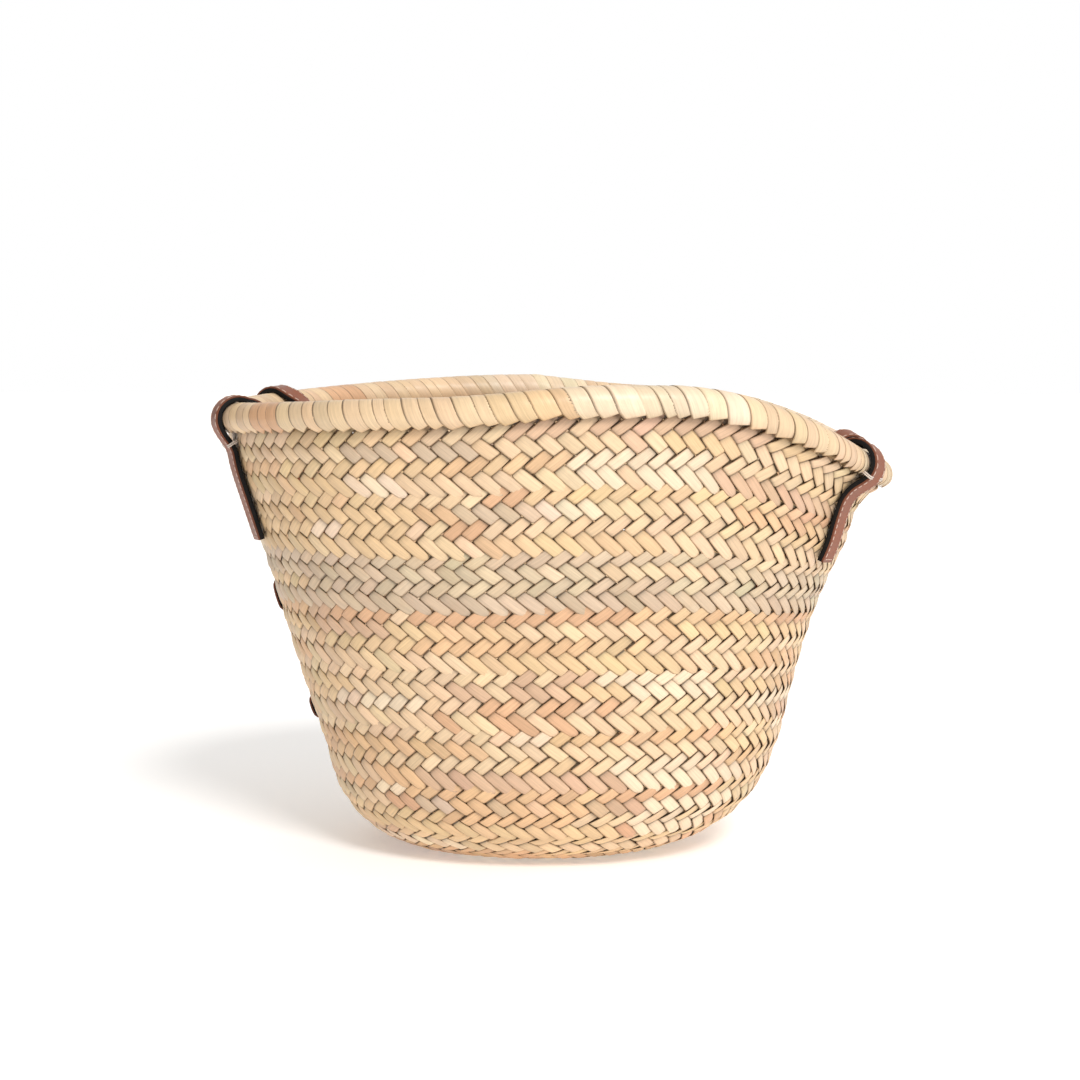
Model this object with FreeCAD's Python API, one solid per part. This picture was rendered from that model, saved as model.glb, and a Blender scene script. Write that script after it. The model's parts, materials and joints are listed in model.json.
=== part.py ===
import FreeCAD, Part
import math
import os

# Plaited palm-leaf market basket with two leather strap handles, in millimetres, +Z up.
# The origin is on the floor under the middle of the mouth. The long way of the mouth is X.
# A handle sits over the rim at each end of X, and both handles hang down inside at rest.

Vector = FreeCAD.Vector

# Profile of the wall, as a run measured along the plait from the middle of the base
BASE_FLAT = 74.0
HEEL_RADIUS = 80.0
WALL_LEAN = 17.5
SHOULDER_RUN = 388.6
TOP_RUN = 426.6
TOP_LEAN = 6.0
PROFILE_STEP = 2.0

# Steps over which surface directions are measured: degrees of the oval in radians, and run
ANGLE_STEP = 0.01
RUN_STEP = 1.0

# Plan shape: an oval that is shorter front to back than side to side
DEPTH_AT_FOOT = 0.93
DEPTH_AT_RIM = 0.86
DEPTH_HEIGHT = 300.0
OVAL_POWER = 2.1

# The soft body leans a little to the left: each shift grows over a stretch of the run
FOOT_SHIFT = 11.0
FOOT_SHIFT_FROM = 60.0
FOOT_SHIFT_LENGTH = 140.0
WAIST_SHIFT = 4.0
WAIST_NARROWING = 3.0
WAIST_FROM = 200.0
WAIST_LENGTH = 220.0
LEFT_TUCK = 3.0
LEFT_TUCK_FROM = 230.0
LEFT_TUCK_LENGTH = 100.0
RIGHT_TUCK = 7.5
RIGHT_TUCK_FROM = 352.0
RIGHT_TUCK_DEEPEST = 404.0

# The mouth sags: most at its right end, a little at its left end and along its front left
MOUTH_HALF = 219.0
SAG_RIGHT = 53.0
SAG_RIGHT_FROM = 86.0
SAG_RIGHT_POWER = 1.9
SAG_LEFT = 10.5
SAG_LEFT_FROM = 40.0
SAG_LEFT_POWER = 1.5
SAG_FRONT = 7.5
SAG_FRONT_FROM = 50.0
SAG_FRONT_WIDTH = 110.0
SAG_BACK = 5.5
SAG_BACK_FROM = -60.0
SAG_BACK_WIDTH = 260.0
SAG_POWER = 4.0

# Plaited courses
WALL_THICKNESS = 5.0
BASE_COURSE_WIDTHS = (41.0, 41.0)
WALL_COURSE_WIDTHS = (41.0, 41.0, 41.4, 41.4, 38.4, 43.4, 43.4)
TOP_EDGE_GAP = 1.2
SEAM_GAP = 3.2
SEAM_CORD_RADIUS = 1.0
SECTION_STEP = 11.0
STATIONS = 36

# Rim roll
ROLL_RADIUS = 10.8
CORE_RADIUS = 7.4
WRAP_INNER_RADIUS = 7.6
WRAP_SLOT_ANGLE = 32.0

# Leather straps
STRAP_WIDTH = 16.5
LINING_THICKNESS = 2.0
LEATHER_THICKNESS = 2.2
STRAP_CLEARANCE = 0.8
LEG_HALF_SPACING = 75.0
TAB_END_RUN = 345.0
CINCH_DROP = 22.0
WRAP_FIRST_ANGLE = -28.0
WRAP_LAST_ANGLE = 150.0
WRAP_ANGLE_STEP = 15.0
TAB_SPANS = 5

# Handle loops, which turn about the line through the two rim crossings
LOOP_OFFSET = 22.6
LOOP_STRAIGHT = 24.0
LOOP_DROP = 150.0
LOOP_HALF_WIDTH = 75.0
LOOP_LEAN = 24.0
LOOP_SECTIONS = 36
LOOP_TWIST_FROM = 4.0
LOOP_TWIST_LENGTH = 95.0

# Stitches
THREAD_RADIUS = 0.5
STITCH_LENGTH = 3.4
STITCH_PITCH = 4.6
STITCH_INSET = 1.8
CINCH_THREAD_RADIUS = 0.7
CINCH_OVERHANG = 0.6

# Leather lace threaded in and out of the left wall: outside from LACE_BOWS low to high runs
LACE_ANGLE = 184.0
LACE_WIDTH = 14.0
LACE_THICKNESS = 1.4
LACE_LINING = 0.8
LACE_BOWS = ((206.0, 221.0), (285.0, 307.0))
LACE_FIRST_RUN = 186.0
LACE_LAST_RUN = 336.0
LACE_STEP = 3.0
LACE_PROUD = 1.4
LACE_CROSSING = 9.0


def ease(value):
    """Smooth step from 0 to 1."""
    value = min(max(value, 0.0), 1.0)
    return value * value * (3.0 - 2.0 * value)


def profile_slope(run):
    """Angle of the profile above the floor, in radians."""
    heel_run = math.radians(90.0 - WALL_LEAN) * HEEL_RADIUS
    if run < BASE_FLAT:
        return 0.0
    if run < BASE_FLAT + heel_run:
        return (run - BASE_FLAT) / HEEL_RADIUS
    if run < SHOULDER_RUN:
        return math.radians(90.0 - WALL_LEAN)
    part_way = (run - SHOULDER_RUN) / (TOP_RUN - SHOULDER_RUN)
    return math.radians(90.0 - WALL_LEAN + (WALL_LEAN - TOP_LEAN) * part_way)


def profile(run):
    """Half length of the oval and height of the outer surface at a run along the profile."""
    steps = max(1, int(run / PROFILE_STEP))
    step = run / steps
    half_length = 0.0
    height = 0.0
    for index in range(steps):
        angle = profile_slope((index + 0.5) * step)
        half_length += step * math.cos(angle)
        height += step * math.sin(angle)
    return half_length, height


def side_shift(run, across):
    """How far a point stands to the left; across runs from -1 at the left to 1 at the right."""
    foot = FOOT_SHIFT * (1.0 - ease((run - FOOT_SHIFT_FROM) / FOOT_SHIFT_LENGTH))
    waist = math.sin(math.pi * min(max((run - WAIST_FROM) / WAIST_LENGTH, 0.0), 1.0))
    waist *= WAIST_SHIFT + WAIST_NARROWING * across
    left = LEFT_TUCK * ease((run - LEFT_TUCK_FROM) / LEFT_TUCK_LENGTH) * max(-across, 0.0) ** 2
    right = ease((run - RIGHT_TUCK_FROM) / (RIGHT_TUCK_DEEPEST - RIGHT_TUCK_FROM))
    right *= 1.0 - ease((run - RIGHT_TUCK_DEEPEST) / (TOP_RUN - RIGHT_TUCK_DEEPEST))
    right *= RIGHT_TUCK * max(across, 0.0) ** 2
    return left - foot - waist - right


def mouth_sag(x, y):
    """How far the rim hangs below its highest stretch, at a point of the mouth's outline."""
    mouth_depth = MOUTH_HALF * DEPTH_AT_RIM
    back = (mouth_depth + y) / (2.0 * mouth_depth)
    right = max((x - SAG_RIGHT_FROM) / (MOUTH_HALF - SAG_RIGHT_FROM), 0.0)
    left = max((-x - SAG_LEFT_FROM) / (MOUTH_HALF - SAG_LEFT_FROM), 0.0)
    front_left = ease((SAG_FRONT_FROM - x) / SAG_FRONT_WIDTH)
    far = math.sin(math.pi * min(max((x - SAG_BACK_FROM) / SAG_BACK_WIDTH, 0.0), 1.0))
    sag = SAG_RIGHT * right ** SAG_RIGHT_POWER + SAG_LEFT * left ** SAG_LEFT_POWER
    return sag + SAG_FRONT * front_left * (1.0 - back) + SAG_BACK * far * back


def power_cos(angle):
    value = math.cos(angle)
    return math.copysign(abs(value) ** (2.0 / OVAL_POWER), value)


def power_sin(angle):
    value = math.sin(angle)
    return math.copysign(abs(value) ** (2.0 / OVAL_POWER), value)


PROFILE_CACHE = {}


def outer_point(run, angle):
    """Point of the outer surface at a run along the profile and an angle round the oval."""
    if run not in PROFILE_CACHE:
        PROFILE_CACHE[run] = profile(run)
    half_length, height = PROFILE_CACHE[run]
    depth = DEPTH_AT_FOOT + (DEPTH_AT_RIM - DEPTH_AT_FOOT) * height / DEPTH_HEIGHT
    across = power_cos(angle)
    x = half_length * across
    y = half_length * depth * power_sin(angle)
    mouth_x = MOUTH_HALF * across
    mouth_y = MOUTH_HALF * DEPTH_AT_RIM * power_sin(angle)
    sag = mouth_sag(mouth_x, mouth_y) * (run / TOP_RUN) ** SAG_POWER if height > 0.0 else 0.0
    return Vector(x + side_shift(run, across), y, height - sag)


def outer_normal(run, angle):
    """Unit normal of the outer surface, pointing out of the basket."""
    along = outer_point(run + RUN_STEP, angle) - outer_point(run - RUN_STEP, angle)
    around = outer_point(run, angle + ANGLE_STEP) - outer_point(run, angle - ANGLE_STEP)
    return around.cross(along).normalize()


def wall_point(run, angle, depth):
    """Point at a depth under the outer surface; a negative depth is outside the wall."""
    return outer_point(run, angle) - outer_normal(run, angle) * depth


def station_angles():
    return [2.0 * math.pi * index / STATIONS for index in range(STATIONS)]


def closed_loft(sections):
    """Ring solid through a closed series of section wires."""
    return Part.makeLoft(sections, True, False, True)


def polygon(points):
    return Part.makePolygon(list(points) + [points[0]])


def course(first_run, last_run):
    """One round of the plait: a ring between two runs, as thick as the wall."""
    spans = max(1, int(math.ceil((last_run - first_run) / SECTION_STEP)))
    runs = [first_run + (last_run - first_run) * index / spans for index in range(spans + 1)]
    sections = []
    for angle in station_angles():
        outside = [wall_point(run, angle, 0.0) for run in runs]
        inside = [wall_point(run, angle, WALL_THICKNESS) for run in reversed(runs)]
        sections.append(polygon(outside + inside))
    return closed_loft(sections)


def base_centre(last_run):
    """The middle of the base, where the plait starts: a flat oval disc."""
    points = [outer_point(last_run, angle) for angle in station_angles()]
    outline = Part.BSplineCurve()
    outline.interpolate(Points=points, PeriodicFlag=True)
    face = Part.Face(Part.Wire(outline.toShape()))
    return face.extrude(Vector(0.0, 0.0, WALL_THICKNESS))


def seam_cord(run):
    """Palm cord that laces one round of the plait to the next, inside the seam."""
    sections = []
    for angle in station_angles():
        centre = wall_point(run, angle, WALL_THICKNESS / 2.0)
        after = wall_point(run, angle + ANGLE_STEP, WALL_THICKNESS / 2.0)
        circle = Part.makeCircle(SEAM_CORD_RADIUS, centre, after - centre)
        sections.append(Part.Wire(circle))
    return closed_loft(sections)


def roll_frame(angle):
    """Centre of the rim roll at an angle, with its level outward normal and its tangent."""
    centre = wall_point(TOP_RUN, angle, WALL_THICKNESS / 2.0)
    centre = centre + Vector(0.0, 0.0, CORE_RADIUS)
    before = outer_point(TOP_RUN, angle - ANGLE_STEP)
    after = outer_point(TOP_RUN, angle + ANGLE_STEP)
    tangent = Vector(after.x - before.x, after.y - before.y, 0.0).normalize()
    normal = tangent.cross(Vector(0.0, 0.0, 1.0))
    return centre, normal, tangent


def roll_point(angle, radius, turn):
    """Point round the rim roll: turn 0 is outward, 90 up and 180 inward, in degrees."""
    centre, normal, tangent = roll_frame(angle)
    radians = math.radians(turn)
    return centre + normal * (radius * math.cos(radians)) + Vector(0, 0, radius * math.sin(radians))


def rim_core():
    """Bundle of stalks that stiffens the mouth."""
    sections = []
    for angle in station_angles():
        centre, normal, tangent = roll_frame(angle)
        sections.append(Part.Wire(Part.makeCircle(CORE_RADIUS, centre, tangent)))
    return closed_loft(sections)


def rim_wrap():
    """Palm strips wound over the core and down both sides of the wall's top edge."""
    first = -90.0 + WRAP_SLOT_ANGLE
    last = 270.0 - WRAP_SLOT_ANGLE
    middle = 90.0
    sections = []
    for angle in station_angles():
        outer = [roll_point(angle, ROLL_RADIUS, turn) for turn in (first, middle, last)]
        inner = [roll_point(angle, WRAP_INNER_RADIUS, turn) for turn in (last, middle, first)]
        edges = [Part.Arc(*outer).toShape()]
        edges.append(Part.makeLine(outer[2], inner[0]))
        edges.append(Part.Arc(*inner).toShape())
        edges.append(Part.makeLine(inner[2], outer[0]))
        sections.append(Part.Wire(edges))
    return closed_loft(sections)


def crossing_angle(side, end):
    """Angle round the oval where a handle leg crosses the rim: side -1 left, end -1 front."""
    low = 0.0
    high = math.pi / 2.0
    for _ in range(40):
        middle = (low + high) / 2.0
        if abs(roll_frame(middle)[0].y) < LEG_HALF_SPACING:
            low = middle
        else:
            high = middle
    if side < 0:
        low = math.pi - low
    return low if end > 0 else -low


def strap_section(point, width_way, out_way, width, low, high):
    """Rectangle across a strap, between two heights above the face that point lies on."""
    side = width_way * (width / 2.0)
    corners = [point - side + out_way * low, point + side + out_way * low]
    corners += [point + side + out_way * high, point - side + out_way * high]
    return polygon(corners)


def strap_solid(stations, width, low, high):
    """Strap layer through stations of (point, width direction, outward direction)."""
    sections = [strap_section(p, w, n, width, low, high) for p, w, n in stations]
    return Part.makeLoft(sections, True, True)


def around_way(run, angle):
    """Unit direction round the basket along its surface at a run, with the slope of the sag."""
    return (outer_point(run, angle + ANGLE_STEP) - outer_point(run, angle - ANGLE_STEP)).normalize()


def tab_stations(side, end):
    """The fixed end of a strap: up the outer wall, in at the cinch and over the roll."""
    angle = crossing_angle(side, end)
    centre, normal, tangent = roll_frame(angle)
    cinch_run = TOP_RUN - CINCH_DROP + CORE_RADIUS
    stations = []
    for index in range(TAB_SPANS + 1):
        run = TAB_END_RUN + (cinch_run - TAB_END_RUN) * index / TAB_SPANS
        point = wall_point(run, angle, -STRAP_CLEARANCE)
        stations.append((point, around_way(run, angle), outer_normal(run, angle)))
    along = around_way(TOP_RUN, angle)
    turns = int(round((WRAP_LAST_ANGLE - WRAP_FIRST_ANGLE) / WRAP_ANGLE_STEP))
    for index in range(turns + 1):
        turn = WRAP_FIRST_ANGLE + (WRAP_LAST_ANGLE - WRAP_FIRST_ANGLE) * index / turns
        point = roll_point(angle, ROLL_RADIUS + STRAP_CLEARANCE, turn)
        out_way = point - centre
        out_way = (out_way - along * out_way.dot(along)).normalize()
        stations.append((point, along, out_way))
    return stations


def hinge_point(side):
    """Middle of the line through the two rim crossings of one handle."""
    front = roll_frame(crossing_angle(side, -1))[0]
    back = roll_frame(crossing_angle(side, 1))[0]
    return (front + back) * 0.5


def loop_stations(side):
    """The hanging U of one handle, from its front leg round to its back leg."""
    hinge = hinge_point(side)
    lean = math.radians(LOOP_LEAN)
    down = Vector(-side * math.sin(lean), 0.0, -math.cos(lean))
    inward = Vector(-side * math.cos(lean), 0.0, math.sin(lean))
    leg = Vector(0.0, 1.0, 0.0)
    arch = LOOP_DROP - LOOP_STRAIGHT
    flat = []
    for index in range(LOOP_SECTIONS + 1):
        turn = math.pi * index / LOOP_SECTIONS
        flat.append((-LOOP_HALF_WIDTH * math.cos(turn), LOOP_STRAIGHT + arch * math.sin(turn)))
    flat = [(-LOOP_HALF_WIDTH, 0.0)] + flat + [(LOOP_HALF_WIDTH, 0.0)]
    lengths = [0.0]
    for first, second in zip(flat, flat[1:]):
        lengths.append(lengths[-1] + math.dist(first, second))
    stations = []
    for index, (across, drop) in enumerate(flat):
        before = flat[max(index - 1, 0)]
        after = flat[min(index + 1, len(flat) - 1)]
        way = leg * (after[0] - before[0]) + down * (after[1] - before[1])
        way.normalize()
        outward = inward.cross(way)
        outward.normalize()
        if outward.dot(leg * across + down * (drop - LOOP_STRAIGHT)) < 0.0:
            outward = outward * -1.0
        from_end = min(lengths[index], lengths[-1] - lengths[index])
        twist = math.pi / 2.0 * ease((from_end - LOOP_TWIST_FROM) / LOOP_TWIST_LENGTH)
        face = inward * math.cos(twist) + outward * math.sin(twist)
        width_way = face.cross(way).normalize()
        total = LINING_THICKNESS + LEATHER_THICKNESS
        middle = hinge + inward * LOOP_OFFSET + leg * across + down * drop
        stations.append((middle - face * (total / 2.0), width_way, face))
    return stations


def stitch_bars(stations, width, high):
    """Short thread stitches along both long edges of a strap and across its free end."""
    points = [p + n * high for p, w, n in stations]
    bars = []
    for edge in (-1.0, 1.0):
        line = []
        for (p, w, n), top in zip(stations, points):
            line.append(top + w * (edge * (width / 2.0 - STITCH_INSET)))
        bars += bars_along(line)
    p, w, n = stations[0]
    way = (stations[1][0] - p).normalize()
    start = points[0] + way * STITCH_INSET
    reach = width / 2.0 - STITCH_INSET - STITCH_PITCH / 2.0
    bars += bars_along([start - w * reach, start + w * reach])
    return bars


def bars_along(line):
    """Thread cylinders laid end to end with small gaps along a polyline."""
    bars = []
    for first, second in zip(line, line[1:]):
        length = (second - first).Length
        way = (second - first).normalize()
        count = int(length // STITCH_PITCH)
        for index in range(count):
            middle = (index + 0.5) * length / count
            start = first + way * (middle - STITCH_LENGTH / 2.0)
            bars.append(Part.makeCylinder(THREAD_RADIUS, STITCH_LENGTH, start, way))
    return bars


def cinch_thread(side, end):
    """Thick thread that pulls the strap tight against the wall just under the roll."""
    stations = tab_stations(side, end)
    point, width_way, out_way = stations[TAB_SPANS]
    top = LINING_THICKNESS + LEATHER_THICKNESS + CINCH_THREAD_RADIUS
    reach = STRAP_WIDTH / 2.0 + CINCH_THREAD_RADIUS + CINCH_OVERHANG
    corners = [point - width_way * reach, point - width_way * reach + out_way * top]
    corners += [point + width_way * reach + out_way * top, point + width_way * reach]
    bars = []
    for first, second in zip(corners, corners[1:]):
        way = second - first
        bars.append(Part.makeCylinder(CINCH_THREAD_RADIUS, way.Length, first, way))
    for corner in corners[1:3]:
        bars.append(Part.makeSphere(CINCH_THREAD_RADIUS, corner))
    return bars[0].fuse(bars[1:])


def lace_depth(run):
    """Depth of the lace under the outer surface: outside in its bows, else inside the wall."""
    outside = 0.0
    for low, high in LACE_BOWS:
        rise = ease((run - low + LACE_CROSSING / 2.0) / LACE_CROSSING)
        fall = ease((high + LACE_CROSSING / 2.0 - run) / LACE_CROSSING)
        bow = math.sin(math.pi * min(max((run - low) / (high - low), 0.0), 1.0))
        outside = max(outside, rise * fall * (1.0 + bow))
    inside = WALL_THICKNESS + STRAP_CLEARANCE
    surface = inside * (1.0 - min(outside, 1.0))
    proud = (STRAP_CLEARANCE + LACE_LINING + LACE_THICKNESS) * min(outside, 1.0)
    bow_out = (LACE_PROUD - LACE_LINING) * max(outside - 1.0, 0.0)
    return surface - proud - bow_out + (LACE_LINING + LACE_THICKNESS) * (1.0 - min(outside, 1.0))


def lace_stations():
    angle = math.radians(LACE_ANGLE)
    count = int(round((LACE_LAST_RUN - LACE_FIRST_RUN) / LACE_STEP))
    spine = []
    for index in range(count + 1):
        run = LACE_FIRST_RUN + LACE_STEP * index
        spine.append(wall_point(run, angle, lace_depth(run)))
    after = outer_point(LACE_FIRST_RUN, angle + ANGLE_STEP)
    tangent = (after - outer_point(LACE_FIRST_RUN, angle - ANGLE_STEP)).normalize()
    stations = []
    for index, point in enumerate(spine):
        way = spine[min(index + 1, count)] - spine[max(index - 1, 0)]
        out_way = tangent.cross(way).normalize()
        stations.append((point, tangent, out_way))
    return stations


def save(shape, node):
    if not shape.isValid():
        print("invalid:", node)
    shape.exportStep("parts/" + node + ".step")
    print(node, "volume", round(shape.Volume / 1000.0, 2), "cm3", "solids", len(shape.Solids))


def make_courses():
    """The rounds of the plait from the base to the rim, with a cord in each seam."""
    first_wall = TOP_RUN - sum(WALL_COURSE_WIDTHS)
    first_base = first_wall - sum(BASE_COURSE_WIDTHS)
    half_gap = SEAM_GAP / 2.0
    save(base_centre(first_base - half_gap), "base_centre")
    low = first_base
    for index, width in enumerate(BASE_COURSE_WIDTHS):
        save(seam_cord(low), f"seam_cord_{index + 1}")
        save(course(low + half_gap, low + width - half_gap), f"base_course_{index + 1}")
        low += width
    for index, width in enumerate(WALL_COURSE_WIDTHS):
        last = index == len(WALL_COURSE_WIDTHS) - 1
        high_gap = TOP_EDGE_GAP if last else half_gap
        save(seam_cord(low), f"seam_cord_{len(BASE_COURSE_WIDTHS) + index + 1}")
        save(course(low + half_gap, low + width - high_gap), f"wall_course_{index + 1}")
        low += width


def make_handle(side, name):
    total = LINING_THICKNESS + LEATHER_THICKNESS
    for end, place in ((-1, "front"), (1, "back")):
        stations = tab_stations(side, end)
        lining = strap_solid(stations, STRAP_WIDTH, 0.0, LINING_THICKNESS)
        leather = strap_solid(stations, STRAP_WIDTH, LINING_THICKNESS, total)
        save(lining, f"{name}_{place}_tab_lining")
        save(leather, f"{name}_{place}_tab")
        bars = stitch_bars(stations[: TAB_SPANS], STRAP_WIDTH, total + THREAD_RADIUS)
        save(Part.makeCompound(bars), f"{name}_{place}_stitches")
        save(cinch_thread(side, end), f"{name}_{place}_cinch_thread")
    stations = loop_stations(side)
    save(strap_solid(stations, STRAP_WIDTH, 0.0, LINING_THICKNESS), f"{name}_loop_lining")
    save(strap_solid(stations, STRAP_WIDTH, LINING_THICKNESS, total), f"{name}_loop")
    hinge = hinge_point(side)
    print(name, "hinge", round(hinge.x, 3), round(hinge.y, 3), round(hinge.z, 3))


os.makedirs("parts", exist_ok=True)
make_courses()
save(rim_core(), "rim_core")
save(rim_wrap(), "rim_wrap")
make_handle(-1, "left_handle")
make_handle(1, "right_handle")
lace = lace_stations()
save(strap_solid(lace, LACE_WIDTH, 0.0, LACE_LINING), "side_lace_lining")
save(strap_solid(lace, LACE_WIDTH, LACE_LINING, LACE_LINING + LACE_THICKNESS), "side_lace")
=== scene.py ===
import json
import math

import bpy
import numpy as np
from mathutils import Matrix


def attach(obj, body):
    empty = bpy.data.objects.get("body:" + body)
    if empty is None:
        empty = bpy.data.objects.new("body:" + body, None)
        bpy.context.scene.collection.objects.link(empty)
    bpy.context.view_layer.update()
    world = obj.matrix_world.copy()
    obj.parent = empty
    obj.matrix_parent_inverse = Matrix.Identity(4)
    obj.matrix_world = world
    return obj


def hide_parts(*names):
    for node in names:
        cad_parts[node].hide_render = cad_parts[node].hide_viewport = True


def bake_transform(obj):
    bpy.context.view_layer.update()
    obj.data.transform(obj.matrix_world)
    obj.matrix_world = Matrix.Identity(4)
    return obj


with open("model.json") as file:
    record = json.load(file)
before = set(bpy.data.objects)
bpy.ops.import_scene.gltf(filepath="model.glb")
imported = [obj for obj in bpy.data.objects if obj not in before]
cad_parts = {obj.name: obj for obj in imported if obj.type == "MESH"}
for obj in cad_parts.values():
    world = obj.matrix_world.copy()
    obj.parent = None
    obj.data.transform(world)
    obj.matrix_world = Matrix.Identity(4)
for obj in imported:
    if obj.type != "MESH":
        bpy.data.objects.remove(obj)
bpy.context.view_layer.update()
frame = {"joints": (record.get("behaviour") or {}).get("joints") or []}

JOINTS = {joint["child"]: joint for joint in frame["joints"]}

# ---------------------------------------------------------------------------
# The basket's surface, in metres: the CAD model's driving dimensions. Three things differ from
# the CAD on purpose: the back rim's sag, the split of a strap's thickness between leather and
# lining (the total is the same), and the strap's clearance.
# ---------------------------------------------------------------------------
BASE_FLAT = 0.074
HEEL_RADIUS = 0.080
WALL_LEAN = math.radians(17.5)
SHOULDER_RUN = 0.3886
TOP_RUN = 0.4266
TOP_LEAN = math.radians(6.0)
DEPTH_AT_FOOT = 0.93
DEPTH_AT_RIM = 0.86
DEPTH_HEIGHT = 0.300
OVAL_POWER = 2.1
FOOT_SHIFT = 0.011
FOOT_SHIFT_FROM = 0.060
FOOT_SHIFT_LENGTH = 0.140
WAIST_SHIFT = 0.004
WAIST_NARROWING = 0.003
WAIST_FROM = 0.200
WAIST_LENGTH = 0.220
LEFT_TUCK = 0.003
LEFT_TUCK_FROM = 0.230
LEFT_TUCK_LENGTH = 0.100
RIGHT_TUCK = 0.0075
RIGHT_TUCK_FROM = 0.352
RIGHT_TUCK_DEEPEST = 0.404
MOUTH_HALF = 0.219
SAG_RIGHT = 0.053
SAG_RIGHT_FROM = 0.086
SAG_RIGHT_POWER = 1.9
SAG_LEFT = 0.0105
SAG_LEFT_FROM = 0.040
SAG_LEFT_POWER = 1.5
SAG_FRONT = 0.0075
SAG_FRONT_FROM = 0.050
SAG_FRONT_WIDTH = 0.110
SAG_BACK = 0.0095
SAG_BACK_FROM = -0.025
SAG_BACK_WIDTH = 0.245
SAG_POWER = 4.0
WALL_THICKNESS = 0.005
BASE_COURSE_WIDTHS = (0.041, 0.041)
WALL_COURSE_WIDTHS = (0.041, 0.041, 0.0414, 0.0414, 0.0384, 0.0434, 0.0434)
ROLL_RADIUS = 0.0108
CORE_RADIUS = 0.0074
STRAP_WIDTH = 0.0165
LINING_THICKNESS = 0.0031
LEATHER_THICKNESS = 0.0011
STRAP_CLEARANCE = 0.0006
LEG_HALF_SPACING = 0.075
TAB_END_RUN = 0.345
CINCH_DROP = 0.022
WRAP_FIRST_ANGLE = -28.0
WRAP_LAST_ANGLE = 118.0
LOOP_OFFSET = 0.0226
LOOP_STRAIGHT = 0.024
LOOP_DROP = 0.150
LOOP_HALF_WIDTH = 0.075
LOOP_LEAN = math.radians(24.0)
LOOP_TWIST_FROM = 0.004
LOOP_TWIST_LENGTH = 0.095
LACE_ANGLE = math.radians(184.0)
LACE_WIDTH = 0.014
LACE_BOWS = ((0.206, 0.221), (0.285, 0.307))
LACE_RUNS = (0.186, 0.336)


def ease(value):
    """Smooth step from 0 to 1."""
    value = np.clip(value, 0.0, 1.0)
    return value * value * (3.0 - 2.0 * value)


def profile_table(step=0.0005):
    """Runs along the profile with the oval's half length and height at each."""
    edges = np.arange(0.0, TOP_RUN + 0.03, step)
    middle = edges[:-1] + step / 2.0
    steep = math.pi / 2.0 - WALL_LEAN
    heel = (middle - BASE_FLAT) / HEEL_RADIUS
    shoulder = (middle - SHOULDER_RUN) / (TOP_RUN - SHOULDER_RUN)
    slope = np.clip(heel, 0.0, steep)
    slope = slope + np.clip(shoulder, 0.0, 1.5) * (WALL_LEAN - TOP_LEAN)
    half_length = np.concatenate([[0.0], np.cumsum(np.cos(slope) * step)])
    height = np.concatenate([[0.0], np.cumsum(np.sin(slope) * step)])
    return edges, half_length, height


RUNS, HALF_LENGTHS, HEIGHTS = profile_table()


def side_shift(run, across):
    foot = FOOT_SHIFT * (1.0 - ease((run - FOOT_SHIFT_FROM) / FOOT_SHIFT_LENGTH))
    waist = np.sin(math.pi * np.clip((run - WAIST_FROM) / WAIST_LENGTH, 0.0, 1.0))
    waist = waist * (WAIST_SHIFT + WAIST_NARROWING * across)
    left = LEFT_TUCK * ease((run - LEFT_TUCK_FROM) / LEFT_TUCK_LENGTH)
    left = left * np.maximum(-across, 0.0) ** 2
    right = ease((run - RIGHT_TUCK_FROM) / (RIGHT_TUCK_DEEPEST - RIGHT_TUCK_FROM))
    right = right * (1.0 - ease((run - RIGHT_TUCK_DEEPEST) / (TOP_RUN - RIGHT_TUCK_DEEPEST)))
    right = right * RIGHT_TUCK * np.maximum(across, 0.0) ** 2
    return left - foot - waist - right


def mouth_sag(x, y):
    mouth_depth = MOUTH_HALF * DEPTH_AT_RIM
    back = (mouth_depth + y) / (2.0 * mouth_depth)
    right = np.maximum((x - SAG_RIGHT_FROM) / (MOUTH_HALF - SAG_RIGHT_FROM), 0.0)
    left = np.maximum((-x - SAG_LEFT_FROM) / (MOUTH_HALF - SAG_LEFT_FROM), 0.0)
    front_left = ease((SAG_FRONT_FROM - x) / SAG_FRONT_WIDTH)
    far = np.sin(math.pi * np.clip((x - SAG_BACK_FROM) / SAG_BACK_WIDTH, 0.0, 1.0))
    sag = SAG_RIGHT * right ** SAG_RIGHT_POWER + SAG_LEFT * left ** SAG_LEFT_POWER
    return sag + SAG_FRONT * front_left * (1.0 - back) + SAG_BACK * far * back


def signed_power(value):
    return np.sign(value) * np.abs(value) ** (2.0 / OVAL_POWER)


def outer_point(run, angle):
    """Points of the outer surface at runs along the profile and angles round the oval."""
    run, angle = np.broadcast_arrays(np.asarray(run, float), np.asarray(angle, float))
    half_length = np.interp(run, RUNS, HALF_LENGTHS)
    height = np.interp(run, RUNS, HEIGHTS)
    depth = DEPTH_AT_FOOT + (DEPTH_AT_RIM - DEPTH_AT_FOOT) * height / DEPTH_HEIGHT
    across = signed_power(np.cos(angle))
    back = signed_power(np.sin(angle))
    sag = mouth_sag(MOUTH_HALF * across, MOUTH_HALF * DEPTH_AT_RIM * back)
    sag = sag * (run / TOP_RUN) ** SAG_POWER * (height > 0.0)
    x = half_length * across + side_shift(run, across)
    y = half_length * depth * back
    return np.stack([x, y, height - sag], -1)


def unit(vectors):
    length = np.linalg.norm(vectors, axis=-1, keepdims=True)
    return vectors / np.maximum(length, 1e-12)


def outer_normal(run, angle):
    step = 0.0012
    along = outer_point(run + step, angle) - outer_point(np.maximum(run - step, 0.0), angle)
    around = outer_point(run, angle + 0.01) - outer_point(run, angle - 0.01)
    return unit(np.cross(around, along))


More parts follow.
